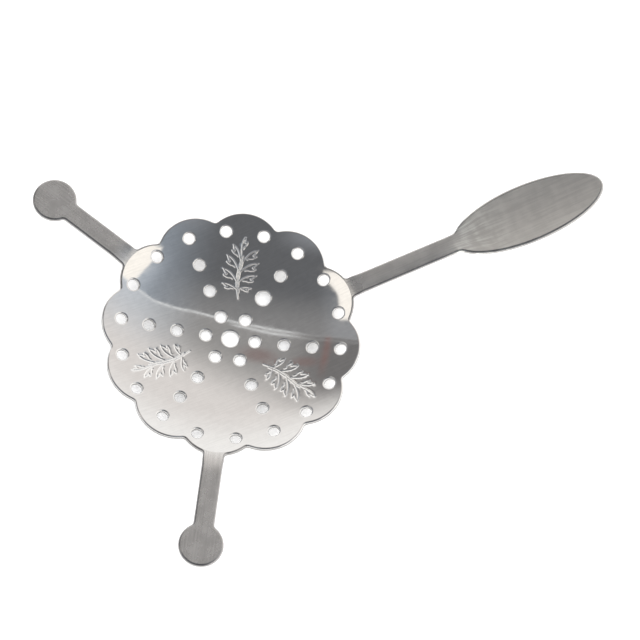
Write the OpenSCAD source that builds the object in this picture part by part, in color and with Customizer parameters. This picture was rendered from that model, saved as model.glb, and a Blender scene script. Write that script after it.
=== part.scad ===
// Absinthe spoon with a pierced, scalloped sugar dish, two short glass rests
// and a handle that ends in a small oval bowl. All of it is one stamped and
// pressed steel sheet.
// The dish axis is +Z, the handle runs along +X, and the underside of the dish
// would touch z = 0 at its middle.

/* [Sheet] */
// Thickness of the steel sheet
sheet_t = 1.0; // [0.8:0.05:1.3]

/* [Sugar dish] */
// Radius of the sphere that the upper face of the dish follows
dish_r = 107; // [90:1:140]
// Distance from the dish axis to the outermost point of a scallop
rim_r = 32.8; // [31.5:0.1:36]
// Radius of one scallop, measured on the sheet
scallop_r = 10; // [9.6:0.1:11]
// Number of scallops round the rim
scallop_count = 12; // [12:1:14]
// How far the notch between two scallops is filled out
notch_fill = 0.25; // [0.1:0.05:0.5]

/* [Drip holes] */
// Diameter of a drip hole, inside its lip
drip_d = 2.8; // [2.5:0.1:4]
// Diameter of the middle hole
centre_hole_d = 4.1; // [3:0.1:6]
// Diameter of the one wider hole in the second ring
wide_hole_d = 3.7; // [3:0.1:5]
// Radius of the first ring of holes
ring_1_r = 6.3; // [6:0.1:7]
// Radius of the second ring of holes
ring_2_r = 13.7; // [12:0.1:15]
// Radius of the third ring of holes
ring_3_r = 20.9; // [19.5:0.1:22]
// Number of holes in each of the three inner rings
spoke_count = 6; // [5:1:7]
// Radius of the ring of holes along the rim
rim_ring_r = 28; // [26.8:0.1:28.5]
// Number of holes along the rim
rim_hole_count = 18; // [14:1:20]
// Width of the rolled upper lip of each hole
lip_w = 0.35; // [0.1:0.05:0.4]
// Depth of that lip
lip_depth = 0.3; // [0.2:0.05:0.5]

/* [Glass rests] */
// Width of a short arm
arm_w = 5.3; // [4.5:0.1:7]
// Distance from the dish axis to the middle of the round end
rest_r = 57; // [48:0.5:65]
// Diameter of the round end
rest_d = 11.3; // [9.5:0.1:14]
// Angle between the handle and each short arm
arm_spread = 120; // [100:1:135]
// Slope of the short arms, upwards from the dish
arm_slope = 2.4; // [0:0.1:6]
// Radius of the small corners between an arm and its round end
corner_r = 1.2; // [0.6:0.1:2]

/* [Folds at the rim] */
// Slope of the arms and the handle where they leave the dish
root_slope = 12; // [11:0.1:14]
// Distance of the fold outside the rim
fold_gap = 0.2; // [0.1:0.05:0.5]
// Straight length between the fold and the bend that follows it
root_l = 1; // [0.8:0.1:2]
// Radius of that bend, on the upper face
bend_r = 25; // [15:1:40]
// Radius of the corners where an arm or the handle leaves the rim
root_corner_r = 1; // [0.5:0.1:1.4]

/* [Handle and bowl] */
// Width of the handle
handle_w = 5.2; // [4.5:0.1:7]
// Slope of the handle, upwards from the dish
handle_slope = 7.5; // [4:0.1:9]
// Distance from the dish axis to the middle of the bowl
bowl_x = 82; // [76:0.5:95]
// Length of the oval bowl
bowl_l = 41.6; // [34:0.2:46]
// Width of the oval bowl
bowl_w = 15.2; // [12:0.1:18]
// Depth of the bowl below the plane of the handle
bowl_depth = 1.25; // [0.8:0.05:1.8]

/* [Leaf sprigs] */
// Number of engraved sprigs between the spokes of holes
sprig_count = 3; // [0:1:3]
// Distance from the dish axis to the foot of a sprig
sprig_r = 10.9; // [10.5:0.1:11.5]
// Length of a sprig
sprig_l = 16; // [13:0.1:16.5]
// Half of its width across the leaves
sprig_reach = 4.4; // [3.5:0.1:4.8]
// Width of an engraved line
line_w = 0.4; // [0.3:0.05:0.5]
// Depth of an engraved line
line_depth = 0.15; // [0.1:0.01:0.25]

/* [Hidden] */
sheet_colour = [0.62, 0.61, 0.6];
// Height of the centre of the dish sphere
dish_centre_z = dish_r + sheet_t;
// Where the fold crosses the middle line of an arm
fold_r = rim_r + fold_gap;
fold_z = dish_centre_z - sqrt(dish_r * dish_r - fold_r * fold_r);
// Where the bend starts, on the upper face
bend_start = [fold_r + root_l * cos(root_slope), fold_z + root_l * sin(root_slope)];
// Where an arm's solid starts, well inside the rim
arm_start_r = rim_r - 8;
// Room above and below the sheet for the cutting shapes, their height through
// the sheet, that of the outline's prisms, and that of the space above an arm
margin = 8;
cut_h = 2 * margin;
outline_h = 3 * margin;
sky_z = 4 * margin;
// Angle at the sphere's centre between the dish axis and a scallop's middle
scallop_tilt = asin(rim_r / dish_r) - asin(scallop_r / dish_r);
// Angle at the sphere's centre between the dish axis and the filled notches
core_tilt = asin(sin(notch_tilt()) + notch_fill / dish_r);
// Where the middle of a scallop's arc is in plan
scallop_x = rim_r - scallop_r;
// How far a root corner's arc cuts into the scallop's, so that they cross
corner_bite = 0.03;
// How much wider than an arm the body is that shapes its faces
strip_room = 3;
// How far the bowl's rim lies below the handle's plane, so that the fold
// at the neck crosses at a clean angle
rim_drop = 0.05;
handle_end = bend_end(handle_slope);
// Slant distance along the handle from the end of its bend to the bowl's middle
bowl_run = (bowl_x - handle_end[0]) / cos(handle_slope);
bowl_z = handle_end[1] + bowl_run * sin(handle_slope);
// Length and cross radii of the bowl's upper face
bowl_long_r = bulge_radius(bowl_l / 2, bowl_depth - rim_drop);
bowl_cross_r = bulge_radius(bowl_w / 2, bowl_depth - rim_drop);
bowl_sweep = 2 * asin((bowl_l / 2 + margin) / bowl_long_r);
// How far the handle reaches into the bowl before it ends inside the bowl's sheet
neck_l = bowl_l / 2 * (1 - sqrt(1 - pow(handle_w / bowl_w, 2))) + 2;
// Leaves on one side of a sprig, and how far they lean away from the stem
leaf_pairs = 4;
leaf_lean = 52;
leaf_l = (sprig_reach - line_w) / sin(leaf_lean);
leaf_w = 1.15;
// How far the leaves of one side stand further along the stem, in leaf pitches
leaf_stagger = 0.45;
// Width of the line at both tips of a leaf
tip_w = 1.5 * line_w;
foot_l = 2.4;
// Direction of the first sprig, and the angle from one to the next
sprig_start = 60;
sprig_turn = 120;
// Flat steps that make up the bend of an arm
bend_steps = 8;
$fn = 96;

// Radius of an arc that is this deep over this half-chord
function bulge_radius(half, depth) = (half * half + depth * depth) / (2 * depth);

// Angle at the sphere's centre between the dish axis and the sharp notch in which
// the circles of two scallops cross
function notch_tilt() =
    let (inwards = sin(scallop_tilt) * cos(180 / scallop_count), upwards = cos(scallop_tilt))
    atan2(inwards, upwards) + acos(sqrt(1 - pow(scallop_r / dish_r, 2)) / norm([inwards, upwards]));

// Where the bend ends on the upper face, for a given slope beyond it
function bend_end(slope) = bend_start + bend_r * [sin(root_slope) - sin(slope), cos(slope) - cos(root_slope)];

// Points along a face of the folded sheet, this deep below the upper face, from
// inside the rim through the fold and the bend to the far end of the arm
function fold_points(slope, run, depth) = [
    for (back = [margin, 0]) bend_start - back * along(root_slope) - depth * square_to(root_slope),
    for (i = [1 : bend_steps])
        let (a = root_slope + (slope - root_slope) * i / bend_steps)
            bend_end(a) - depth * square_to(a),
    bend_end(slope) + run * along(slope) - depth * square_to(slope)
];

function along(slope) = [cos(slope), sin(slope)];

function square_to(slope) = [-sin(slope), cos(slope)];

// Places children at the dish sphere's centre, with +Z through the sheet at
// this distance from the dish axis and this direction
module through_dish(r, direction) {
    translate([0, 0, dish_centre_z])
        rotate([0, 180 - asin(r / dish_r), direction])
            children();
}

module dish_ball(extra = 0) {
    translate([0, 0, dish_centre_z])
        sphere(r = dish_r + extra, $fn = 240);
}

// Everything inside the scalloped rim, with walls square to the sheet. The cone
// fills the middle and the bottoms of the notches
module scalloped_rim() {
    cylinder(
        h = cut_h,
        r1 = dish_centre_z * tan(core_tilt),
        r2 = (dish_centre_z - cut_h) * tan(core_tilt)
    );
    for (i = [0 : scallop_count - 1])
        through_dish(dish_r * sin(scallop_tilt), 360 / scallop_count * i)
            translate([0, 0, dish_r - margin])
                cylinder(h = cut_h, r = scallop_r);
}

// A hole square to the sheet, with a ball-shaped upper lip. The ball's middle is
// lifted off the sheet so that it cuts the lip's width and depth
module drip_hole(r, direction, d) {
    lift = (d * lip_w + lip_w * lip_w - lip_depth * lip_depth) / (2 * lip_depth);
    through_dish(r, direction) {
        translate([0, 0, dish_r - margin])
            cylinder(h = cut_h, d = d);
        translate([0, 0, dish_r - lift])
            sphere(r = norm([lift, d / 2 + lip_w]));
    }
}

module drip_holes() {
    spoke = 360 / spoke_count;
    drip_hole(0, 0, centre_hole_d);
    for (i = [0 : spoke_count - 1]) {
        drip_hole(ring_1_r, spoke * (i + 0.5), drip_d);
        drip_hole(ring_2_r, spoke * (i + 0.5), i == 0 ? wide_hole_d : drip_d);
        drip_hole(ring_3_r, spoke * (i + 0.5), drip_d);
    }
    for (i = [0 : rim_hole_count - 1])
        drip_hole(rim_ring_r, 360 / rim_hole_count * (i + 0.5), drip_d);
}

// A pointed leaf from the origin along +X, between two arcs
module leaf(l, w) {
    arc_r = bulge_radius(l / 2, w / 2);
    intersection() {
        shift = arc_r - w / 2;
        translate([l / 2, shift])
            circle(r = arc_r);
        translate([l / 2, -shift])
            circle(r = arc_r);
    }
}

// The engraved contour of a leaf
module leaf_line(l, w) {
    difference() {
        leaf(l, w);
        translate([tip_w, 0])
            leaf(l - 2 * tip_w, w - 2 * line_w);
    }
}

// A stem along +X with leaves on both sides, a leaf at its tip and two at its foot
module sprig_lines() {
    stem_l = sprig_l - leaf_l;
    pitch = (stem_l - foot_l) / leaf_pairs;
    translate([0, -line_w / 2])
        square([stem_l + line_w, line_w]);
    translate([stem_l, 0])
        leaf_line(leaf_l, leaf_w);
    for (side = [1, -1])
        for (i = [0 : leaf_pairs - 1])
            translate([foot_l + pitch * (i + (side > 0 ? 0 : leaf_stagger)), 0])
                rotate(side * leaf_lean)
                    leaf_line(leaf_l, leaf_w);
    for (side = [1, -1])
        translate([foot_l, 0])
            rotate(side * (180 - leaf_lean))
                leaf(foot_l, tip_w);
}

module sprigs() {
    intersection() {
        for (i = [0 : sprig_count - 1])
            rotate(sprig_start + sprig_turn * i)
                translate([sprig_r, 0, 0])
                    linear_extrude(height = cut_h)
                        sprig_lines();
        difference() {
            dish_ball(line_depth);
            dish_ball(-sheet_t);
        }
    }
}

// The space above one face of a folded arm, which lies this deep below its upper
// face
module above_arm(w, slope, run, depth) {
    face = fold_points(slope, run, depth);
    rotate([90, 0, 0])
        linear_extrude(height = w + strip_room, center = true)
            polygon(concat(face, [for (end = [len(face) - 1, 0]) [face[end][0], sky_z]]));
}

// Plan of the small corners in which an arm of this width leaves its scallop
module root_corners(w) {
    corner_y = w / 2 + root_corner_r;
    reach = scallop_r + root_corner_r - corner_bite;
    corner_x = scallop_x + sqrt(reach * reach - corner_y * corner_y);
    inside = [scallop_x, 0] + (1 - 3 * root_corner_r / reach) * [corner_x - scallop_x, corner_y];
    for (side = [0, 1])
        mirror([0, side])
            difference() {
                polygon([[arm_start_r, 0], [corner_x, 0], [corner_x, corner_y], inside]);
                translate([corner_x, corner_y])
                    circle(r = root_corner_r);
            }
}

module handle_plan() {
    translate([arm_start_r, -handle_w / 2])
        square([bowl_x - bowl_l / 2 + neck_l - arm_start_r, handle_w]);
    root_corners(handle_w);
}

// Plan of a short arm with its round end and the small corners before it
module rest_plan() {
    root_corners(arm_w);
    corner_y = arm_w / 2 + corner_r;
    reach = rest_d / 2 + corner_r;
    corner_x = rest_r - sqrt(reach * reach - corner_y * corner_y);
    touch = [rest_r, 0] + rest_d / 2 / reach * [corner_x - rest_r, corner_y];
    translate([arm_start_r, -arm_w / 2])
        square([rest_r - arm_start_r, arm_w]);
    translate([rest_r, 0])
        circle(d = rest_d);
    for (side = [0, 1])
        mirror([0, side])
            difference() {
                polygon([[corner_x, arm_w / 2], touch, [rest_r, 0], [corner_x, 0]]);
                translate([corner_x, corner_y])
                    circle(r = corner_r);
            }
}

// Places children at the middle of the bowl, on the handle's upper plane
module at_bowl() {
    translate([bowl_x, 0, bowl_z])
        rotate([0, -handle_slope, 0])
            children();
}

// The space above the bowl's upper face, grown by some thickness
module bowl_ring(extra) {
    at_bowl()
        translate([0, 0, bowl_long_r - bowl_depth])
            rotate([90, 0, 0])
                rotate(-90 - bowl_sweep / 2)
                    rotate_extrude(angle = bowl_sweep, $fn = 720)
                        translate([bowl_long_r - bowl_cross_r, 0])
                            circle(r = bowl_cross_r + extra);
}

// The space above one face of the whole sheet, this deep below its upper face.
// Where the curves of the dish, an arm and the bowl meet, the lower one is the
// face, which makes the folds
module above_sheet(depth) {
    dish_ball(depth);
    for (side = [1, -1])
        rotate(side * arm_spread)
            above_arm(rest_d, arm_slope, rest_r + rest_d - bend_start[0], depth);
    above_arm(handle_w, handle_slope, bowl_run - bowl_l / 2 + neck_l, depth);
    bowl_ring(depth);
}

// The outline that the sheet is stamped to
module blank() {
    scalloped_rim();
    for (side = [1, -1])
        rotate(side * arm_spread)
            linear_extrude(height = outline_h)
                rest_plan();
    linear_extrude(height = outline_h)
        handle_plan();
    at_bowl()
        linear_extrude(height = cut_h, center = true)
            scale([bowl_l / 2, bowl_w / 2])
                circle(r = 1);
}

module absinthe_spoon() {
    color(sheet_colour)
        difference() {
            intersection() {
                blank();
                above_sheet(sheet_t);
            }
            above_sheet(0);
            drip_holes();
            sprigs();
        }
}

absinthe_spoon();
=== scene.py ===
import math
import bmesh
import bpy
import numpy as np
from mathutils import Matrix, Vector, kdtree
from mathutils.geometry import delaunay_2d_cdt


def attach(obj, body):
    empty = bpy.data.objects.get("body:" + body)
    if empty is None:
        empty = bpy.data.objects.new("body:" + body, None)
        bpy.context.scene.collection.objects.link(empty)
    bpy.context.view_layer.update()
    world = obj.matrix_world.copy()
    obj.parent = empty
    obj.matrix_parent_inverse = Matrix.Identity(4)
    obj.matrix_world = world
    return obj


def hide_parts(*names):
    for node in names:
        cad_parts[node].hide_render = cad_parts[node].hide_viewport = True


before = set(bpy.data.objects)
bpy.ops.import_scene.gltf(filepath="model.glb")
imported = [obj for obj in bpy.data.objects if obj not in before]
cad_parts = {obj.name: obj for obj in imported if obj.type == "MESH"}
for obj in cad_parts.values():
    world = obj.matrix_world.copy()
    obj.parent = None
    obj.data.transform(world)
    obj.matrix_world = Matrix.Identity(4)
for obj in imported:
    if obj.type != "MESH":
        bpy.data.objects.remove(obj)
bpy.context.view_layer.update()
print("frame loaded:", sorted(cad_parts))

# camera: fitted to the drip holes and the two round ends
view = {
    "lens": 168.75, "azimuth": -32.96, "elevation": 68.77, "roll": 10.64,
    "distance": 0.7599, "aimHeight": 0.00473, "aimX": 231.09, "aimY": 333.43,
    "frameWidth": 640, "focalPixels": 3000, "sensor": 36, "nearest": 0.01,
}


def makeCamera(v):
    az, el, roll = (math.radians(v[k]) for k in ("azimuth", "elevation", "roll"))
    back = Vector((math.sin(az) * math.cos(el), -math.cos(az) * math.cos(el), math.sin(el)))
    right = Vector((math.cos(az), math.sin(az), 0))
    up = back.cross(right)
    turned = (math.cos(roll) * right + math.sin(roll) * up,
              math.cos(roll) * up - math.sin(roll) * right, back)
    middle, perPixel = v["frameWidth"] / 2, v["distance"] / v["focalPixels"]
    slide = ((middle - v["aimX"]) * perPixel, (v["aimY"] - middle) * perPixel, v["distance"])
    place = sum((axis * s for axis, s in zip(turned, slide)), Vector((0, 0, v["aimHeight"])))
    camera = bpy.data.objects.new("camera", bpy.data.cameras.new("camera"))
    camera.data.lens = v["lens"]
    camera.data.sensor_width = v["sensor"]
    camera.data.clip_start = v["nearest"]
    turn = Matrix(turned).transposed().to_4x4()
    camera.matrix_world = Matrix.Translation(place) @ turn
    bpy.context.scene.collection.objects.link(camera)
    bpy.context.scene.camera = camera


makeCamera(view)
print("camera placed")

millimetre = 0.001
tiny = {"level": 1e-6, "merge": 1e-5, "join": 1e-4, "short": 1e-9}  # tolerances

# the sheet, in millimetres: plan, slopes and depths are those of the CAD part. The wide roundings,
# the crown of the handle and the lobed leaves are added here
sheet = {
    "thickness": 1.0, "edge": 0.42, "edgeDrop": 0.34, "underEdge": 0.14, "edgeSteps": 5, "underSteps": 2,
    "armEdge": 0.62, "armDrop": 0.6, "widenFrom": 1, "widenOver": 3,  # the arms have a wider rounding
    "wallFrom": 0.38, "armWallFrom": 0.64, "wallTo": 0.99, "probe": 0.05, "mitreLeast": 0.25,
}
dish = {
    "radius": 107, "rim": 32.8, "scallop": 10, "scallops": 12, "pointsPerScallop": 52,
    "notchFill": 0.25, "notchSoft": 0.3, "rootCorner": 1.0,
    "centreHole": 4.1, "wideHole": 3.7, "hole": 2.8, "rings": (6.3, 13.7, 20.9), "spokes": 6,
    "rimRing": 28, "rimHoles": 18, "holePoints": 44, "lip": 0.46, "lipDrop": 0.36, "holeZone": 2.75,
    "sphereTo": 50, "leastSquare": 100, "zoneRoom": 1,
}
rest = {"width": 5.3, "reach": 57, "end": 11.3, "corner": 1.2, "slope": 2.4, "spread": 120}
fold = {
    "root": 12, "gap": 0.2, "straight": 1, "bend": 25, "soft": 0.07, "roomFull": 0.9, "roomEnd": 2.4,
    "armFrom": 26, "roomTo": 2, "armRoom": 9, "curveTo": 4, "curveOver": 3, "blendTo": 40,
}
handle = {
    "width": 5.2, "slope": 7.5,
    "crown": 0.09, "crownStart": 35, "crownOver": 4, "crownEnd": 64, "crownFade": 6,
}
bowl = {
    "x": 82, "length": 41.6, "width": 15.2, "depth": 1.25,
    "drop": 0.05, "soft": 0.02, "from": 50, "neckSoft": 0.6,
}
# how far apart the outline's points are, in millimetres or as counts along a side
trace = {"rootStep": 0.22, "cornerStep": 0.25, "endStep": 0.45, "restSide": 28, "handleSide": 60,
         "neckSpan": 12, "neckPoints": 30, "neckRoom": 0.1, "bowlPoints": 150}
rotations = {"left": math.radians(rest["spread"]), "right": -math.radians(rest["spread"]), "handle": 0.0}

centreZ = dish["radius"] + sheet["thickness"]
foldR = dish["rim"] + fold["gap"]
rootSlope = math.radians(fold["root"])
foldZ = centreZ - math.sqrt(dish["radius"] ** 2 - foldR ** 2)
bendX = foldR + fold["straight"] * math.cos(rootSlope)
bendZ = foldZ + fold["straight"] * math.sin(rootSlope)


def bulge(half, depth):
    return (half * half + depth * depth) / (2 * depth)


# upper face of an arm at this distance from the dish axis
def armHeight(s, slopeDeg):
    slope = math.radians(slopeDeg)
    endX = bendX + fold["bend"] * (math.sin(rootSlope) - math.sin(slope))
    endZ = bendZ + fold["bend"] * (math.cos(slope) - math.cos(rootSlope))
    arcX = bendX + fold["bend"] * math.sin(rootSlope)
    arcZ = bendZ - fold["bend"] * math.cos(rootSlope)
    inArc = arcZ + np.sqrt(np.maximum(fold["bend"] ** 2 - (arcX - s) ** 2, 0))
    z = np.where(s < bendX, bendZ + (s - bendX) * math.tan(rootSlope), inArc)
    return np.where(s > endX, endZ + (s - endX) * math.tan(slope), z)


def softMin(a, b, k):
    return np.minimum(a, b) - np.maximum(k - np.abs(a - b), 0) ** 2 / (4 * k)


# how far the bowl lies under the handle's plane, square to it
def bowlDip(x, y):
    half = bowl["length"] / 2, bowl["width"] / 2
    longR, crossR = (bulge(h, bowl["depth"] - bowl["drop"]) for h in half)
    along = (x - bowl["x"]) / math.cos(math.radians(handle["slope"]))
    rise = longR - bowl["depth"]
    ring = longR - crossR + np.sqrt(np.maximum(crossR ** 2 - y ** 2, 1))
    face = rise - np.sqrt(np.maximum(ring ** 2 - along ** 2, 1))
    return softMin(face, np.zeros_like(face), bowl["soft"])


# the upper face of the pressed sheet above a point of the plan
def faceOf(x, y):
    reach2 = np.minimum(x * x + y * y, dish["sphereTo"] ** 2)
    out = np.stack([x, y, centreZ - np.sqrt(dish["radius"] ** 2 - reach2)], axis=-1)
    roomTo = foldR + fold["roomTo"]
    for name, turn in rotations.items():
        slope = handle["slope"] if name == "handle" else rest["slope"]
        s = x * math.cos(turn) + y * math.sin(turn)
        t = y * math.cos(turn) - x * math.sin(turn)
        half = handle["width"] / 2 if name == "handle" else rest["width"] / 2
        reach = np.where(s < roomTo, half + fold["roomEnd"], fold["armRoom"])
        on = (s > fold["armFrom"]) & (np.abs(t) < reach)
        curve = dish["scallop"] - np.sqrt(np.maximum(dish["scallop"] ** 2 - t * t, 1))
        curve *= np.clip((foldR + fold["curveTo"] - s) / fold["curveOver"], 0, 1)
        z = armHeight(s + curve, slope)
        inside = centreZ - np.sqrt(np.maximum(dish["radius"] ** 2 - s * s - t * t, dish["leastSquare"]))
        fade = np.clip((half + fold["roomEnd"] - np.abs(t)) / (fold["roomEnd"] - fold["roomFull"]), 0, 1)
        fade = np.where(s < roomTo, fade * fade * (3 - 2 * fade), 1)
        z = np.where(s < fold["blendTo"], inside + (softMin(z, inside, fold["soft"]) - inside) * fade, z)
        dip = np.zeros_like(s)
        if name == "handle":
            crown = handle["crown"] * np.clip((s - handle["crownStart"]) / handle["crownOver"], 0, 1)
            crown *= np.clip((handle["crownEnd"] - s) / handle["crownFade"], 0, 1)
            dip = np.where(s > bowl["from"], bowlDip(s, t), 0) - crown * (t / half) ** 2
        lean = math.radians(slope)
        s2, z2 = s - dip * math.sin(lean), z + dip * math.cos(lean)
        placed = np.stack([s2 * math.cos(turn) - t * math.sin(turn),
                           s2 * math.sin(turn) + t * math.cos(turn), z2], axis=-1)
        out = np.where(on[:, None], placed, out)
    return out


# flat blank to pressed sheet: x and y are the plan, z is the depth below the face
def press(points):
    x, y, z = points[:, 0], points[:, 1], points[:, 2]
    near = sheet["probe"]
    alongX = faceOf(x + near, y) - faceOf(x - near, y)
    alongY = faceOf(x, y + near) - faceOf(x, y - near)
    up = np.cross(alongX, alongY)
    up /= np.linalg.norm(up, axis=1, keepdims=True)
    return (faceOf(x, y) + up * z[:, None]) * millimetre


# points on an arc, angles in degrees
def arc(cx, cy, r, start, end, step):
    count = max(3, int(abs(math.radians(end - start)) * r / step) + 1)
    angles = np.radians(np.linspace(start, end, count))
    return np.stack([cx + r * np.cos(angles), cy + r * np.sin(angles)], axis=1)


# plan of a circle drawn square to the dish's sphere
def onSphere(r, towards, ringR, count):
    a = np.linspace(0, 2 * math.pi, count, endpoint=False)
    tilt = math.asin(r / dish["radius"])
    deep = math.sqrt(dish["radius"] ** 2 - ringR ** 2)
    x = ringR * np.cos(a) * math.cos(tilt) + deep * math.sin(tilt)
    return turned(np.stack([x, ringR * np.sin(a)], axis=1), math.radians(towards))


def turned(points, angle):
    c, s = math.cos(angle), math.sin(angle)
    return points @ np.array([[c, s], [-s, c]])


# the dish's rim in polar form, from angles to either side of one scallop's middle
def rimPoints(psi, towards):
    tilt = math.asin(dish["rim"] / dish["radius"]) - math.asin(dish["scallop"] / dish["radius"])
    spread = math.asin(dish["scallop"] / dish["radius"])

    def reach(angle):
        a, b = math.sin(tilt) * np.cos(angle), math.cos(tilt)
        return dish["radius"] * np.sin(np.arctan2(a, b) + np.arccos(math.cos(spread) / np.hypot(a, b)))

    core = reach(math.pi / dish["scallops"]) + dish["notchFill"]
    r = -softMin(-reach(psi), -core, dish["notchSoft"])
    return np.stack([r * np.cos(psi + towards), r * np.sin(psi + towards)], axis=1)


# plan of the corner in which an arm leaves its scallop, from the rim outwards
def rootCorner(half):
    middle, cornerR = dish["rim"] - dish["scallop"], dish["rootCorner"]
    cornerY, reach = half + cornerR, dish["scallop"] + cornerR
    cornerX = middle + math.sqrt(reach ** 2 - cornerY ** 2)
    touch = math.degrees(math.atan2(-cornerY, middle - cornerX))
    return arc(cornerX, cornerY, cornerR, touch, -90, trace["rootStep"])


# plan of an arm from one root corner round its end to the other one
def restPlan():
    half, endR, cornerR = rest["width"] / 2, rest["end"] / 2, rest["corner"]
    cornerY, reach = half + cornerR, endR + cornerR
    cornerX = rest["reach"] - math.sqrt(reach ** 2 - cornerY ** 2)
    touch = math.degrees(math.atan2(cornerY, rest["reach"] - cornerX))
    root = rootCorner(half)
    side = np.linspace(root[-1][0], cornerX, trace["restSide"])[1:-1]
    upper = np.concatenate([root, np.stack([side, np.full_like(side, half)], axis=1),
                            arc(cornerX, cornerY, cornerR, -90, -touch, trace["cornerStep"])])
    end = arc(rest["reach"], 0, endR, touch - 180, 180 - touch, trace["endStep"])[1:-1]
    return np.concatenate([upper * [1, -1], end, upper[::-1]])


def handlePlan():
    half, longR, crossR = handle["width"] / 2, bowl["length"] / 2, bowl["width"] / 2
    longR *= math.cos(math.radians(handle["slope"]))
    start = math.asin((half + bowl["neckSoft"] + trace["neckRoom"]) / crossR)
    root = rootCorner(half)
    side = np.linspace(root[-1][0], bowl["x"] - longR * math.cos(start), trace["handleSide"])[1:]
    neck = np.linspace(side[-trace["neckSpan"]], side[-1], trace["neckPoints"])
    side = np.concatenate([side[:-trace["neckSpan"]], neck])
    oval = crossR * np.sqrt(np.maximum(1 - ((side - bowl["x"]) / longR) ** 2, 0))
    wide = -softMin(np.full_like(side, -half), -oval, bowl["neckSoft"])
    upper = np.concatenate([root, np.stack([side, wide], axis=1)])
    a = np.linspace(start - math.pi, math.pi - start, trace["bowlPoints"])[1:-1]
    end = np.stack([bowl["x"] + longR * np.cos(a), crossR * np.sin(a)], axis=1)
    return np.concatenate([upper * [1, -1], end, upper[::-1]])


# the whole outline in plan, counterclockwise, and where each arm starts and ends in it
def spoonOutline():
    half, count = math.pi / dish["scallops"], dish["pointsPerScallop"]
    beside = count // 3
    perArm = round(rest["spread"] / 360 * dish["scallops"])
    plans = {0: handlePlan(), perArm: restPlan(), dish["scallops"] - perArm: restPlan()}
    parts, roots = [], []
    for i in range(dish["scallops"]):
        towards = 2 * half * i
        if i not in plans:
            parts.append(rimPoints(np.linspace(-half, half, count, endpoint=False), towards))
            continue
        x, y = plans[i][-1]
        edge = math.atan2(y, x)
        parts.append(rimPoints(np.linspace(-half, -edge, beside, endpoint=False), towards))
        first = sum(len(p) for p in parts)
        roots.append((first, first + len(plans[i]) - 1, towards, edge))
        parts.append(turned(plans[i], towards))
        parts.append(rimPoints(np.linspace(edge, half, beside, endpoint=False)[1:], towards))
    return np.concatenate(parts), roots


# a closed outline moved inwards, square to itself
def shifted(outline, inset):
    ahead = np.roll(outline, -1, axis=0) - outline
    ahead /= np.linalg.norm(ahead, axis=1, keepdims=True)
    out = np.stack([ahead[:, 1], -ahead[:, 0]], axis=1)
    before = np.roll(out, 1, axis=0)
    mitre = (out + before) / (1 + (out * before).sum(axis=1))[:, None]
    return outline - inset * mitre


# share of the arms' wider rounding at each point, none on the dish
def armShare(points):
    out = np.hypot(points[:, 0], points[:, 1]) - dish["rim"] - sheet["widenFrom"]
    t = np.clip(out / sheet["widenOver"], 0, 1)
    return t * t * (3 - 2 * t)


# depth at which the square wall begins below the rounding
def wallTop(points):
    return sheet["wallFrom"] + (sheet["armWallFrom"] - sheet["wallFrom"]) * armShare(points)


# the drip holes in plan, each wider by the lip
def holeOutlines(grow):
    spoke = 360 / dish["spokes"]
    sizes = [(0, 0, dish["centreHole"])]
    for i in range(dish["spokes"]):
        for k, r in enumerate(dish["rings"]):
            sizes.append((r, spoke * (i + 0.5), dish["wideHole"] if (i, k) == (0, 1) else dish["hole"]))
    for i in range(dish["rimHoles"]):
        sizes.append((dish["rimRing"], 360 / dish["rimHoles"] * (i + 0.5), dish["hole"]))
    return [onSphere(r, towards, d / 2 + grow, dish["holePoints"]) for r, towards, d in sizes]


# engraved sprigs: two stem strokes and lobed leaves, along +X from the foot. Each
# leaf has its root, its tip and its width
sprig = {
    "foot": 10.9, "length": 16, "start": 60, "turn": 120, "count": 3, "corner": 0.2, "room": 2,
    "groove": 0.24, "grooveShape": 1.5, "depth": 0.1, "fine": 0.13, "reach": 0.42,
    "stems": (
        ((0, -0.5), (1.3, -0.15), (3.2, 0.4), (5.6, 0.6), (7.8, 0.4),
         (9.6, 0.15), (11.4, 0.1), (12.8, 0.35)),
        ((1.6, -0.45), (3.6, 0.0), (6.0, 0.05), (8.0, -0.15), (9.8, -0.35), (11.2, -0.3)),
    ),
    "leaves": (
        ((2.4, 0.3), (3.5, 3.9), 1.9), ((4.5, 0.6), (7.3, 4.3), 2.6), ((7.4, 0.5), (10.8, 3.7), 2.5),
        ((10.1, 0.3), (13.6, 2.5), 2.1), ((2.6, -0.3), (3.1, -3.3), 1.7), ((4.5, -0.1), (6.5, -4.2), 2.6),
        ((7.0, -0.2), (9.7, -4.3), 2.7), ((9.7, -0.5), (12.9, -3.7), 2.5), ((11.9, 0.1), (15.8, -0.2), 1.9),
    ),
    "front": ((0.04, 0.1), (0.3, 0.34), (0.6, 0.46), (0.86, 0.28), (1.02, -0.04)),
    "back": ((0.97, 0), (0.8, -0.3), (0.62, -0.28), (0.78, -0.95), (0.5, -0.72), (0.36, -0.26), (0.24, -0.2)),
}


# strokes of one sprig, from its foot along +X
def sprigLines():
    lines = [np.array(stem) for stem in sprig["stems"]]
    for root, tip, width in sprig["leaves"]:
        root, axis = np.array(root), np.array(tip) - np.array(root)
        across = np.array([-axis[1], axis[0]]) / np.linalg.norm(axis) * width / 2
        if across[0] < 0:
            across = -across
        for edge in (sprig["front"], sprig["back"]):
            lines.append(root + np.array([a * axis + b * across for a, b in edge]))
    return [rounded(rounded(line)) for line in lines]


# a stroke with its corners cut off
def rounded(line):
    c = sprig["corner"]
    ends = [(1 - c) * line[:-1] + c * line[1:], c * line[:-1] + (1 - c) * line[1:]]
    quarter = np.stack(ends, axis=1).reshape(-1, 2)
    return np.concatenate([line[:1], quarter[1:-1], line[-1:]])


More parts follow.
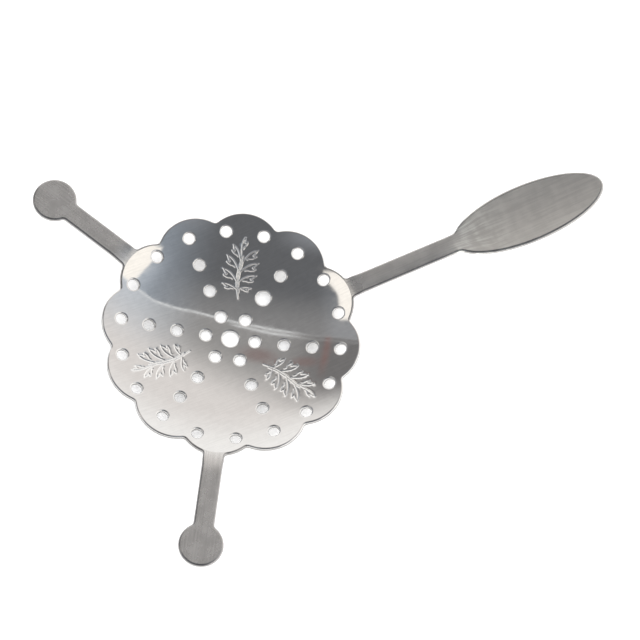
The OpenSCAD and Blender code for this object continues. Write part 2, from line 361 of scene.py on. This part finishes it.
def sprigSegments():
    starts, ends = [], []
    for i in range(sprig["count"]):
        turn = math.radians(sprig["start"] + sprig["turn"] * i)
        for line in sprigLines():
            placed = turned(line + [sprig["foot"], 0], turn)
            starts.append(placed[:-1])
            ends.append(placed[1:])
    return np.concatenate(starts), np.concatenate(ends)


# distance from each point to the nearest stroke
def strokeDistance(points, segments):
    a, b = segments
    along = b - a
    lengths = np.maximum((along ** 2).sum(axis=1), tiny["short"])
    best = np.full(len(points), np.inf)
    for start, step, size in zip(a, along, lengths):
        t = np.clip(((points - start) @ step) / size, 0, 1)
        best = np.minimum(best, ((points - start - t[:, None] * step) ** 2).sum(axis=1))
    return np.sqrt(best)


# what the blank is filled with: boxes, the pitch in each, and how near a point may come to an edge
fill = {
    "dish": (-34, 36, -34, 34), "rest": (33.5, 64, -6, 6),
    "handle": (36.5, 62, -3, 3), "bowl": (60, 104, -8, 8),
    "pitch": 0.75, "armPitch": 1.1, "bowlPitch": 0.9, "gap": 0.33, "fineGap": 0.12, "overlap": 0.05,
    "foldPoints": 14, "foldGap": 0.3,
}


def lattice(x0, x1, y0, y1, pitch):
    rows = np.arange(y0, y1, pitch * math.sqrt(3) / 2)
    xs = np.arange(x0, x1, pitch)
    grid = []
    for k, y in enumerate(rows):
        shift = pitch / 2 if k % 2 else 0
        grid.append(np.stack([xs + shift, np.full_like(xs, y)], axis=1))
    return np.concatenate(grid)


# points inside the sheet: an even lattice, and a fine one along the engraving
def fillPoints(outlines, segments):
    coarse = [lattice(*fill["dish"], fill["pitch"])]
    for name in ("left", "right"):
        coarse.append(turned(lattice(*fill["rest"], fill["armPitch"]), rotations[name]))
    coarse.append(lattice(*fill["handle"], fill["armPitch"]))
    coarse.append(lattice(*fill["bowl"], fill["bowlPitch"]))
    coarse = np.concatenate(coarse)
    coarse = coarse[strokeDistance(coarse, segments) > sprig["reach"]]
    fine = lattice(*fill["dish"], sprig["fine"])
    r = np.hypot(fine[:, 0], fine[:, 1])
    start, end = sprig["foot"] - sprig["room"], sprig["foot"] + sprig["length"] + sprig["room"]
    fine = fine[(r > start) & (r < end)]
    fine = fine[strokeDistance(fine, segments) < sprig["reach"] - fill["overlap"]]
    tree = kdtree.KDTree(sum(len(o) for o in outlines))
    for i, point in enumerate(np.concatenate(outlines)):
        tree.insert((point[0], point[1], 0), i)
    tree.balance()
    keep = [q for q in coarse if tree.find((q[0], q[1], 0))[2] > fill["gap"]]
    keep += [q for q in fine if tree.find((q[0], q[1], 0))[2] > fill["fineGap"]]
    return np.array(keep)


# the flat upper face of the blank, inside its rounded edges
def flatFace():
    outline, roots = spoonOutline()
    wider = sheet["armEdge"] - sheet["edge"]
    bodies = [shifted(outline, sheet["edge"] + wider * armShare(outline)[:, None])]
    holes = holeOutlines(dish["lip"])
    segments = sprigSegments()
    inner = fillPoints(bodies + holes, segments)
    points, loops = [], []
    for outline in bodies + holes:
        loops.append(list(range(len(points), len(points) + len(outline))))
        points += [Vector(p) for p in outline]
    # edges along each fold, so that the dish and the arm meet in a clean line
    chains, count = [], fill["foldPoints"]
    for first, end, towards, edge in roots:
        for a in np.linspace(-1, 1, count + 2)[1:-1] * edge:
            r = np.hypot(*rimPoints(np.array([a]), towards)[0]) - sheet["edge"]
            points.append(Vector((r * math.cos(a + towards), r * math.sin(a + towards))))
        line = [first] + list(range(len(points) - count, len(points))) + [end]
        chains += list(zip(line[:-1], line[1:]))
    folds = points[-count * len(roots):]
    near = kdtree.KDTree(len(folds))
    for i, f in enumerate(folds):
        near.insert((f[0], f[1], 0), i)
    near.balance()
    points += [Vector(p) for p in inner if near.find((p[0], p[1], 0))[2] > fill["foldGap"]]
    verts, _, faces, _, _, origins = delaunay_2d_cdt(points, chains, loops, 1, tiny["join"])
    last = len(bodies)
    kept = [f for f, o in zip(faces, origins)
            if any(k < last for k in o) and not any(k >= last for k in o)]
    mesh = bpy.data.meshes.new("blank")
    mesh.from_pydata([(v[0], v[1], 0) for v in verts], [], kept)
    bm = bmesh.new()
    bm.from_mesh(mesh)
    bpy.data.meshes.remove(mesh)
    loose = [v for v in bm.verts if not v.link_faces]
    bmesh.ops.delete(bm, geom=loose, context="VERTS")
    for f in bm.faces:
        if f.normal.z < 0:
            f.normal_flip()
    return bm, segments, np.array([o.mean(axis=0) for o in holes])


# outward offset and depth of each row of the rounded edge, from the flat face to the underside
def edgeProfile(e, drop):
    under, t = sheet["underEdge"], sheet["thickness"]
    rows = []
    for i in range(1, sheet["edgeSteps"] + 1):
        a = math.pi / 2 * i / sheet["edgeSteps"]
        rows.append((e * math.sin(a), drop * (1 - math.cos(a))))
    rows.append((e, (drop + t - under) / 2))
    for i in range(sheet["underSteps"] + 1):
        a = math.pi / 2 * i / sheet["underSteps"]
        rows.append((e - under * (1 - math.cos(a)), t - under + under * math.sin(a)))
    rows.append((0, t))
    return rows


# mitred step out of the flat face at each vertex of its rim
def outwards(bm, edges):
    steps = {}
    for edge in edges:
        face = edge.link_faces[0]
        a, b = edge.verts
        side = Vector((b.co.y - a.co.y, a.co.x - b.co.x, 0)).normalized()
        if side.dot(face.calc_center_median() - a.co) > 0:
            side.negate()
        for v in (a, b):
            steps.setdefault(v, []).append(side)
    return {v: (n[0] + n[-1]) / max(sheet["mitreLeast"], 1 + n[0].dot(n[-1])) for v, n in steps.items()}


# the blank: upper face, rounded edges, walls and underside
def makeBlank():
    bm, segments, holes = flatFace()
    rim = [e for e in bm.edges if len(e.link_faces) == 1]
    step = outwards(bm, rim)
    start = {v: v.co.copy() for v in step}
    below = bmesh.ops.duplicate(bm, geom=bm.verts[:] + bm.edges[:] + bm.faces[:])["geom"]
    underFaces = [g for g in below if isinstance(g, bmesh.types.BMFace)]
    bmesh.ops.reverse_faces(bm, faces=underFaces)
    for g in below:
        if isinstance(g, bmesh.types.BMVert):
            g.co.z = -sheet["thickness"]
    home = {v: v for v in step}
    lips = {v for v in step if np.hypot(*(holes - v.co[:2]).T).min() < dish["holeZone"]}
    share = dict(zip(start, armShare(np.array([c[:] for c in start.values()]))))
    rows = zip(edgeProfile(sheet["edge"], sheet["edgeDrop"]),
               edgeProfile(sheet["armEdge"], sheet["armDrop"]),
               edgeProfile(dish["lip"], dish["lipDrop"]))
    for outer, wide, lip in rows:
        made = bmesh.ops.extrude_edge_only(bm, edges=rim)["geom"]
        rim = [g for g in made if isinstance(g, bmesh.types.BMEdge)]
        fresh = {g for g in made if isinstance(g, bmesh.types.BMVert)}
        nextHome = {}
        for v in fresh:
            for e in v.link_edges:
                other = e.other_vert(v)
                if other in home and other not in fresh:
                    nextHome[v] = home[other]
        for v, first in nextHome.items():
            blended = [a + (b - a) * share[first] for a, b in zip(outer, wide)]
            offset, depth = lip if first in lips else blended
            v.co = start[first] + step[first] * offset
            v.co.z = -depth
        home = nextHome
    bmesh.ops.remove_doubles(bm, verts=bm.verts, dist=tiny["merge"])
    bmesh.ops.recalc_face_normals(bm, faces=bm.faces)
    return bm, segments


# which material each point of the blank has: 0 dish, 1 arms, 2 the cut edge
def zones(points):
    step = 2 * math.pi / dish["scallops"] * round(rest["spread"] / 360 * dish["scallops"])
    turn = np.arctan2(points[:, 1], points[:, 0])
    towards = np.round(turn / step) * step
    reach = np.hypot(points[:, 0], points[:, 1])
    edge = np.hypot(*rimPoints(turn - towards, towards).T)
    arm = np.abs(turn - towards) < math.pi / dish["scallops"]
    outside = reach > np.where(arm, edge - sheet["edge"], dish["rim"] + dish["zoneRoom"])
    wall = (points[:, 2] < -wallTop(points)) & (points[:, 2] > -sheet["wallTo"] * sheet["thickness"])
    return np.where(wall, 2, np.where(outside, 1, 0))


# where the finish changes: share of the softer satin on the handle and the bowl, and brush lines
# that spread at the neck and catch the light there, painted lighter as a highlight
finishAt = {
    "handleFrom": 35, "handleOver": 4, "handleShare": 0.2, "bowlFrom": 58, "bowlOver": 10, "bowlShare": 0.8,
    "halfWidth": 9, "grainScale": 0.01,
}
fan = {"from": 58, "rise": 4, "over": 12, "to": 78, "spread": 0.5}


# share of the way along x, from 0 to 1
def rising(x, start, over):
    return np.clip((x - start) / over, 0, 1)


def makeSpoon():
    bm, segments = makeBlank()
    flat = np.array([v.co[:] for v in bm.verts])
    cut = np.zeros(len(flat))
    top = flat[:, 2] > -tiny["level"]
    d = strokeDistance(flat[top][:, :2], segments)
    cut[top] = np.clip(1 - (d / sprig["groove"]) ** 2, 0, 1) ** sprig["grooveShape"]
    pressed = flat.copy()
    pressed[:, 2] -= cut * sprig["depth"]
    placed = press(pressed)
    grain = bm.loops.layers.uv.new("grain")
    for v, p in zip(bm.verts, placed):
        v.co = p
    bm.verts.index_update()
    mids = np.array([flat[[v.index for v in f.verts]].mean(axis=0) for f in bm.faces])
    armTurn, scale = math.radians(rest["spread"]), finishAt["grainScale"]
    for f, mid, zone in zip(bm.faces, mids, zones(mids)):
        f.smooth = True
        f.material_index = int(zone)
        turn = 0 if zone == 0 else round(math.atan2(mid[1], mid[0]) / armTurn) * armTurn
        for loop in f.loops:
            x, y = flat[loop.vert.index][:2]
            if turn == 0 and zone > 0 and x > fan["from"]:
                y *= 1 - fan["spread"] * min((x - fan["from"]) / fan["over"], 1)
            loop[grain].uv = ((x * math.cos(turn) + y * math.sin(turn)) * scale,
                              (y * math.cos(turn) - x * math.sin(turn)) * scale)
    ring = [v.index for v in bm.verts
            if top[v.index] and any(not top[w.index] for e in v.link_edges for w in e.verts)]
    mesh = bpy.data.meshes.new("spoonSheet")
    bm.to_mesh(mesh)
    bm.free()
    # beside a hole or a rim the face keeps its own normal, so that the mirror stays clean there
    normals = np.array([v.normal[:] for v in mesh.vertices])
    normals[ring] = press(flat[ring] + (0, 0, 1)) - press(flat[ring])
    mesh.normals_split_custom_set_from_vertices(normals.tolist())
    x, onHandle = flat[:, 0], np.abs(flat[:, 1]) <= finishAt["halfWidth"]
    soft = rising(x, finishAt["handleFrom"], finishAt["handleOver"]) * finishAt["handleShare"]
    soft = (soft + rising(x, finishAt["bowlFrom"], finishAt["bowlOver"]) * finishAt["bowlShare"]) * onHandle
    # where the painted highlight along the brush lines at the neck goes
    streaked = rising(x, fan["from"], fan["rise"]) * rising(-x, -fan["to"], fan["over"]) * onHandle
    # the band of the rounded edges, which the satin steel paints darker as shade
    edge = ((flat[:, 2] < -tiny["merge"]) & (flat[:, 2] > -wallTop(flat))).astype(float)
    for name, values in (("engraving", cut), ("soft", soft), ("edge", edge), ("streaks", streaked)):
        mask = mesh.attributes.new(name, "FLOAT", "POINT")
        mask.data.foreach_set("value", values.astype(np.float32))
    piece = bpy.data.objects.new("spoonSheet", mesh)
    bpy.context.scene.collection.objects.link(piece)
    triangles = sum(len(p.vertices) - 2 for p in mesh.polygons)
    print("spoon:", len(mesh.vertices), "vertices,", triangles, "triangles")
    return piece


spoon = makeSpoon()
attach(spoon, "root")
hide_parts("absinthe_spoon")


# a Math node
def calc(tree, how, *values):
    node = tree.nodes.new("ShaderNodeMath")
    node.operation = how
    for socket, value in zip(node.inputs, values):
        if hasattr(value, "is_output"):
            tree.links.new(value, socket)
        else:
            socket.default_value = value
    return node.outputs[0]


# soft step of a value from low to high
def ramp(tree, value, low, high, atLow=0.0, atHigh=1.0):
    node = tree.nodes.new("ShaderNodeMapRange")
    node.interpolation_type = "SMOOTHSTEP"
    settings = {"Value": value, "From Min": low, "From Max": high, "To Min": atLow, "To Max": atHigh}
    for name, v in settings.items():
        if hasattr(v, "is_output"):
            tree.links.new(v, node.inputs[name])
        else:
            node.inputs[name].default_value = v
    return node.outputs["Result"]


def blendColour(tree, factor, a, b, how="MIX"):
    node = tree.nodes.new("ShaderNodeMix")
    node.data_type = "RGBA"
    node.blend_type = how
    for socket, v in zip((node.inputs[0], node.inputs[6], node.inputs[7]), (factor, a, b)):
        if hasattr(v, "is_output"):
            tree.links.new(v, socket)
        elif socket.type == "RGBA":
            socket.default_value = (*v, 1)
        else:
            socket.default_value = v
    return node.outputs[2]


# the dish
polish = {
    "colour": (0.80, 0.79, 0.78), "rough": 0.035, "engraved": (0.88, 0.87, 0.86), "engravedRough": 0.24,
    "grainTurn": -2, "lines": (12, 260), "lineShare": 0.04, "waves": 13, "waveDepth": 0.022,
    "clouds": 60, "roughSpread": 0.03, "tint": 0.06,
}
# the short arms; the handle and the bowl are softer
satin = {
    "colour": (0.75, 0.735, 0.72), "rough": 0.24, "engraved": (0.7, 0.7, 0.7), "engravedRough": 0.4,
    "softColour": (0.69, 0.668, 0.638), "softRough": 0.58,
    # edgeColour and softEdge darken the rounded edges: painted shade on the rounding, not a colour of the
    # steel
    "edgeColour": (0.42, 0.41, 0.405), "softEdge": (0.5, 0.49, 0.48), "edgeRough": 0.2,
    "grainTurn": 0, "lines": (7, 240), "lineShare": 1.0, "waves": 12, "waveDepth": 0.006,
    "clouds": 35, "roughSpread": 0.05, "tint": 0.15,
    # streaks is a painted highlight: a lighter colour along the brush lines at the neck
    "streaks": (0.83, 0.83, 0.79), "streakFrom": (0.3, 0.9),
}
# the walls that the press cut
cutEdge = {
    "colour": (0.42, 0.41, 0.40), "rough": 0.42, "engraved": (0.5, 0.5, 0.5), "engravedRough": 0.4,
    "grainTurn": 0, "lines": (40, 200), "lineShare": 1.0, "waves": 30, "waveDepth": 0.01,
    "clouds": 90, "roughSpread": 0.08, "tint": 0.15,
}
# the noise behind all three, and where the engraving's own colour sets in
brush = {
    "detail": 3, "rough": 0.65, "cloudDetail": 2, "lineTone": 0.6, "cloudTone": 0.4, "range": (0.3, 0.7),
    "cutFrom": (0.05, 0.4),
}


# brush lines and soft clouds along the grain map: a tone, a roughness share and a height
def makeGrainGroup():
    group = bpy.data.node_groups.new("steelGrain", "ShaderNodeTree")
    for name in ("Vector", "Along", "Across", "Clouds", "Turn", "Waves", "Line Share"):
        kind = "NodeSocketVector" if name in ("Vector", "Turn") else "NodeSocketFloat"
        group.interface.new_socket(name=name, in_out="INPUT", socket_type=kind)
    for name in ("Tone", "Roughness", "Height"):
        group.interface.new_socket(name=name, in_out="OUTPUT", socket_type="NodeSocketFloat")
    start = group.nodes.new("NodeGroupInput")
    end = group.nodes.new("NodeGroupOutput")
    spin = group.nodes.new("ShaderNodeVectorRotate")
    spin.rotation_type = "EULER_XYZ"
    group.links.new(start.outputs["Vector"], spin.inputs["Vector"])
    group.links.new(start.outputs["Turn"], spin.inputs["Rotation"])
    stretch = group.nodes.new("ShaderNodeCombineXYZ")
    group.links.new(start.outputs["Along"], stretch.inputs["X"])
    group.links.new(start.outputs["Across"], stretch.inputs["Y"])
    scaled = group.nodes.new("ShaderNodeVectorMath")
    scaled.operation = "MULTIPLY"
    group.links.new(spin.outputs["Vector"], scaled.inputs[0])
    group.links.new(stretch.outputs["Vector"], scaled.inputs[1])
    lines = group.nodes.new("ShaderNodeTexNoise")
    lines.inputs["Scale"].default_value = 1
    lines.inputs["Detail"].default_value = brush["detail"]
    lines.inputs["Roughness"].default_value = brush["rough"]
    group.links.new(scaled.outputs["Vector"], lines.inputs["Vector"])
    clouds = group.nodes.new("ShaderNodeTexNoise")
    clouds.inputs["Detail"].default_value = brush["cloudDetail"]
    group.links.new(spin.outputs["Vector"], clouds.inputs["Vector"])
    group.links.new(start.outputs["Clouds"], clouds.inputs["Scale"])
    waves = group.nodes.new("ShaderNodeTexNoise")
    waves.inputs["Detail"].default_value = 0
    group.links.new(spin.outputs["Vector"], waves.inputs["Vector"])
    group.links.new(start.outputs["Waves"], waves.inputs["Scale"])
    line, cloud = lines.outputs[0], clouds.outputs[0]
    tone = calc(group, "ADD", calc(group, "MULTIPLY", line, brush["lineTone"]),
                calc(group, "MULTIPLY", cloud, brush["cloudTone"]))
    group.links.new(ramp(group, tone, *brush["range"]), end.inputs["Tone"])
    group.links.new(ramp(group, cloud, *brush["range"]), end.inputs["Roughness"])
    ripple = calc(group, "MULTIPLY_ADD", line, start.outputs["Line Share"], waves.outputs[0])
    group.links.new(ripple, end.inputs["Height"])
    return group


steelGrain = makeGrainGroup()


def attribute(tree, name):
    node = tree.nodes.new("ShaderNodeAttribute")
    node.attribute_name = name
    return node.outputs["Fac"]


# one steel: a look without its own soft or edge values takes its colour and roughness for them
def makeSteel(name, look):
    look = {"softColour": look["colour"], "edgeColour": look["colour"], "softEdge": look["colour"],
            "softRough": look["rough"], "edgeRough": look["rough"], **look}
    mat = bpy.data.materials.new(name)
    mat.use_nodes = True
    tree = mat.node_tree
    shader = tree.nodes["Principled BSDF"]
    shader.inputs["Metallic"].default_value = 1
    uv = tree.nodes.new("ShaderNodeUVMap")
    uv.uv_map = "grain"
    grain = tree.nodes.new("ShaderNodeGroup")
    grain.node_tree = steelGrain
    tree.links.new(uv.outputs["UV"], grain.inputs["Vector"])
    grain.inputs["Turn"].default_value = (0, 0, math.radians(look["grainTurn"]))
    settings = {"Along": look["lines"][0], "Across": look["lines"][1], "Clouds": look["clouds"],
                "Waves": look["waves"], "Line Share": look["lineShare"]}
    for socket, value in settings.items():
        grain.inputs[socket].default_value = value
    cut = ramp(tree, attribute(tree, "engraving"), *brush["cutFrom"])
    soft, paintedEdgeShade = attribute(tree, "soft"), attribute(tree, "edge")
    base = blendColour(tree, soft, look["colour"], look["softColour"])
    # painted shade: the rounded edge band takes the darker edge colours
    rim = blendColour(tree, soft, look["edgeColour"], look["softEdge"])
    base = blendColour(tree, paintedEdgeShade, base, rim)
    # painted highlight: the brush lines at the neck take the lighter streak colour
    if "streaks" in look:
        bright = ramp(tree, grain.outputs["Tone"], *look["streakFrom"])
        share = calc(tree, "MULTIPLY", attribute(tree, "streaks"), bright)
        base = blendColour(tree, share, base, look["streaks"])
    low = 1 - look["tint"]
    darker = ramp(tree, grain.outputs["Tone"], 0.0, 1.0, 1.0, 0.0)
    plain = blendColour(tree, darker, base, (low, low, low), "MULTIPLY")
    tree.links.new(blendColour(tree, cut, plain, look["engraved"]), shader.inputs["Base Color"])
    rough = calc(tree, "MULTIPLY_ADD", soft, look["softRough"] - look["rough"], look["rough"])
    rough = ramp(tree, paintedEdgeShade, 0.0, 1.0, rough, look["edgeRough"])
    rough = calc(tree, "MULTIPLY_ADD", grain.outputs["Roughness"], look["roughSpread"], rough)
    node = tree.nodes.new("ShaderNodeMix")
    tree.links.new(cut, node.inputs[0])
    tree.links.new(rough, node.inputs[2])
    node.inputs[3].default_value = look["engravedRough"]
    tree.links.new(node.outputs[0], shader.inputs["Roughness"])
    bump = tree.nodes.new("ShaderNodeBump")
    bump.inputs["Distance"].default_value = look["waveDepth"] * millimetre
    tree.links.new(grain.outputs["Height"], bump.inputs["Height"])
    tree.links.new(bump.outputs["Normal"], shader.inputs["Normal"])
    return mat


for steelName, steelLook in (("polishedSteel", polish), ("satinSteel", satin), ("cutSteel", cutEdge)):
    spoon.data.materials.append(makeSteel(steelName, steelLook))
print("steel ready")

# floor and surroundings
studio = {
    "floor": 0.6, "floorGlow": 0.18, "floorColour": (0.96, 0.96, 0.96),
    "sky": 3.3, "skyWidth": 160, "skyFrom": (-0.36, -0.2, 0.91),
    "far": (0.544, 0.839, 0.0), "right": (0.839, -0.544, 0.0),
}


def makeFloor():
    bm = bmesh.new()
    bmesh.ops.create_grid(bm, x_segments=1, y_segments=1, size=studio["floor"])
    mesh = bpy.data.meshes.new("floor")
    bm.to_mesh(mesh)
    bm.free()
    floor = bpy.data.objects.new("floor", mesh)
    bpy.context.scene.collection.objects.link(floor)
    mat = bpy.data.materials.new("floorWhite")
    mat.use_nodes = True
    tree = mat.node_tree
    shader = tree.nodes["Principled BSDF"]
    shader.inputs["Base Color"].default_value = (*studio["floorColour"], 1)
    shader.inputs["Roughness"].default_value = 1
    shader.inputs["Specular IOR Level"].default_value = 0
    glow = tree.nodes.new("ShaderNodeEmission")
    rays = tree.nodes.new("ShaderNodeLightPath")
    seen = calc(tree, "MAXIMUM", rays.outputs["Is Camera Ray"], rays.outputs["Is Glossy Ray"])
    seen = calc(tree, "MAXIMUM", seen, rays.outputs["Is Transmission Ray"])
    tree.links.new(calc(tree, "MULTIPLY", seen, studio["floorGlow"]), glow.inputs["Strength"])
    both = tree.nodes.new("ShaderNodeAddShader")
    tree.links.new(shader.outputs[0], both.inputs[0])
    tree.links.new(glow.outputs[0], both.inputs[1])
    tree.links.new(both.outputs[0], tree.nodes["Material Output"].inputs["Surface"])
    floor.data.materials.append(mat)


makeFloor()


# even light from above for the floor, which the steel doesn't mirror
def makeSky():
    sky = bpy.data.objects.new("sky", bpy.data.lights.new("sky", "SUN"))
    sky.data.energy = studio["sky"]
    sky.data.angle = math.radians(studio["skyWidth"])
    sky.rotation_euler = Vector(studio["skyFrom"]).to_track_quat("Z", "Y").to_euler()
    sky.visible_glossy = False
    bpy.context.scene.collection.objects.link(sky)


makeSky()

# the room that the steel mirrors, by direction: w from near to far, u from left to right. Left and
# right in the names are as the dish shows them, which is the other way about. Pairs are where a
# change starts and ends
room = {
    "dark": (0.15, 0.155, 0.165), "darkLow": (0.29, 0.29, 0.292), "lobes": (0.31, 0.325, 0.35),
    "darkLeft": (0.37, 0.42, 0.48), "halo": (0.72, 0.78, 0.86), "window": (1.25, 1.2, 1.12),
    "mid": (0.36, 0.355, 0.35), "leftLight": (0.66, 0.70, 0.75), "rightDark": (0.21, 0.205, 0.205),
    "bright": (0.88, 0.845, 0.82), "curtain": (0.27, 0.19, 0.18), "line": (1.0, 1.02, 1.03),
    "around": (1.1, 1.09, 1.07), "sides": (1.25, 1.23, 1.19), "leftSide": (0.4, 0.41, 0.43),
    "near": (0.34, 0.34, 0.35), "least": 0.05,
    "horizon": 0.1375, "lean": 0.07, "leftFall": 0.4, "leftEnd": 0.165, "horizonSoft": 0.004,
    "lineWidth": 0.0038, "twin": 0.009, "twinFade": (0.0, -0.03),
    "lineFade": (-0.19, -0.11), "lineLeast": 0.15,
    "leftFade": (0.03, 0.24), "rightFade": (-0.1, -0.24), "lowFade": (0.03, 0.14),
    "brightLean": -0.28, "brightFrom": 0.18, "brightOver": 0.17,
    "curtainU": -0.224, "curtainHalf": 0.013, "curtainTop": (0.27, 0.2),
    "warmSpots": ((-0.08, 0.211, 0.06), (-0.182, 0.217, 0.045)),
    "spotFlat": 2.2, "spotCore": 0.01, "spotShare": 0.65,
    "lobeFade": (-0.03, -0.085), "lobeSides": (0.05, 0.16),
    "nearFade": (-0.1, -0.3), "sideLean": 0.8, "sideOver": 0.1, "leftRight": (-0.1, 0.1),
    "evenFrom": (0.36, 0.5),
}
# the two windows: inner edge, its lean, lowest and highest w, and the share of the glow beside it
windows = {
    "left": (0.166, 0.46, 0.01, 0.128, 0.45), "right": (0.188, 0.2, -0.004, 0.109, 0.15),
    "sill": (0.0, 0.06, 0.032), "soft": 0.003, "endSoft": 0.005, "glowOver": -0.055, "glowLow": (0.0, 0.08),
}


def makeRoom():
    world = bpy.data.worlds.new("studio")
    bpy.context.scene.world = world
    world.use_nodes = True
    tree = world.node_tree
    coords = tree.nodes.new("ShaderNodeTexCoord")

    def along(axis):
        node = tree.nodes.new("ShaderNodeVectorMath")
        node.operation = "DOT_PRODUCT"
        tree.links.new(coords.outputs["Generated"], node.inputs[0])
        node.inputs[1].default_value = axis
        return node.outputs["Value"]

    def add(a, b):
        return calc(tree, "ADD", a, b)

    def minus(a, b):
        return calc(tree, "SUBTRACT", a, b)

    def times(a, b):
        return calc(tree, "MULTIPLY", a, b)

    def size(a):
        return calc(tree, "ABSOLUTE", a)

    def fade(value, *ends):
        return ramp(tree, value, *ends)

    def blend(factor, a, b):
        return blendColour(tree, factor, a, b)

    below = calc(tree, "MAXIMUM", add(along((0, 0, 1)), 1.0), room["least"])
    w = calc(tree, "DIVIDE", along(studio["far"]), below)
    u = calc(tree, "DIVIDE", along(studio["right"]), below)
    horizon = add(times(calc(tree, "MAXIMUM", times(u, -1.0), 0.0), room["lean"]), room["horizon"])
    fall = calc(tree, "MAXIMUM", minus(u, room["leftEnd"]), 0.0)
    over = minus(w, minus(horizon, times(fall, room["leftFall"])))

    # beyond the horizon: mid grey, lighter to the left, then bright, with a curtain and warm spots
    mid = blend(fade(u, *room["leftFade"]), room["mid"], room["leftLight"])
    mid = blend(fade(u, *room["rightFade"]), mid, room["rightDark"])
    first = add(times(u, room["brightLean"]), room["brightFrom"])
    far = blend(fade(minus(w, first), 0.0, room["brightOver"]), mid, room["bright"])
    strip = fade(size(minus(u, room["curtainU"])), room["curtainHalf"], 0.0)
    far = blend(times(strip, fade(w, *room["curtainTop"])), far, room["curtain"])
    for spotU, spotW, spotR in room["warmSpots"]:
        across, aside = times(minus(w, spotW), room["spotFlat"]), minus(u, spotU)
        away = calc(tree, "SQRT", add(times(aside, aside), times(across, across)))
        far = blend(fade(away, spotR, room["spotCore"], 0.0, room["spotShare"]), far, room["curtain"])

    # overhead: the dark panel with a window at each side
    dark = blend(fade(w, *room["lowFade"]), room["dark"], room["darkLow"])
    dark = blend(fade(u, *room["leftFade"]), dark, room["darkLeft"])
    lobes = times(fade(w, *room["lobeFade"]), fade(size(u), *room["lobeSides"]))
    dark = blend(lobes, dark, room["lobes"])
    soft, endSoft = windows["soft"], windows["endSoft"]
    for name, towards in (("left", 1.0), ("right", -1.0)):
        inner, lean, low, high, glow = windows[name]
        side = add(times(w, lean), inner)
        if name == "right":
            sillLow, sillHigh, step = windows["sill"]
            side = add(side, fade(w, sillLow, sillHigh, 0.0, step))
        side = minus(times(u, towards), side)
        halo = times(fade(side, windows["glowOver"], 0.0, 0.0, glow), fade(w, *windows["glowLow"]))
        dark = blend(halo, dark, room["halo"])
        ends = times(fade(w, high + endSoft, high - endSoft), fade(w, low - endSoft, low + endSoft))
        dark = blend(times(fade(side, -soft, soft), ends), dark, room["window"])
    colour = blend(fade(over, -room["horizonSoft"], room["horizonSoft"]), dark, far)

    # the bright line along the horizon, double on the right
    near, twin = (fade(size(minus(over, at)), room["lineWidth"], 0.0) for at in (0.0, room["twin"]))
    line = calc(tree, "MAXIMUM", near, times(twin, fade(u, *room["twinFade"])))
    line = times(line, fade(u, *room["lineFade"], room["lineLeast"], 1.0))
    colour = blend(line, colour, room["line"])

    # the rest of the room is even
    reach = calc(tree, "SQRT", add(times(u, u), times(w, w)))
    outer = blend(fade(w, *room["nearFade"]), room["around"], room["near"])
    beside = minus(size(u), times(size(w), room["sideLean"]))
    side = blend(fade(u, *room["leftRight"]), room["leftSide"], room["sides"])
    outer = blend(fade(beside, 0.0, room["sideOver"]), outer, side)
    colour = blend(fade(reach, *room["evenFrom"]), colour, outer)
    back = tree.nodes["Background"]
    tree.links.new(colour, back.inputs["Color"])
    plain = tree.nodes.new("ShaderNodeBackground")
    plain.inputs["Color"].default_value = (1, 1, 1, 1)
    rays = tree.nodes.new("ShaderNodeLightPath")
    pick = tree.nodes.new("ShaderNodeMixShader")
    tree.links.new(rays.outputs["Is Camera Ray"], pick.inputs[0])
    tree.links.new(back.outputs[0], pick.inputs[1])
    tree.links.new(plain.outputs[0], pick.inputs[2])
    tree.links.new(pick.outputs[0], tree.nodes["World Output"].inputs["Surface"])


makeRoom()
bpy.context.scene.view_settings.view_transform = "Standard"
print("room ready")
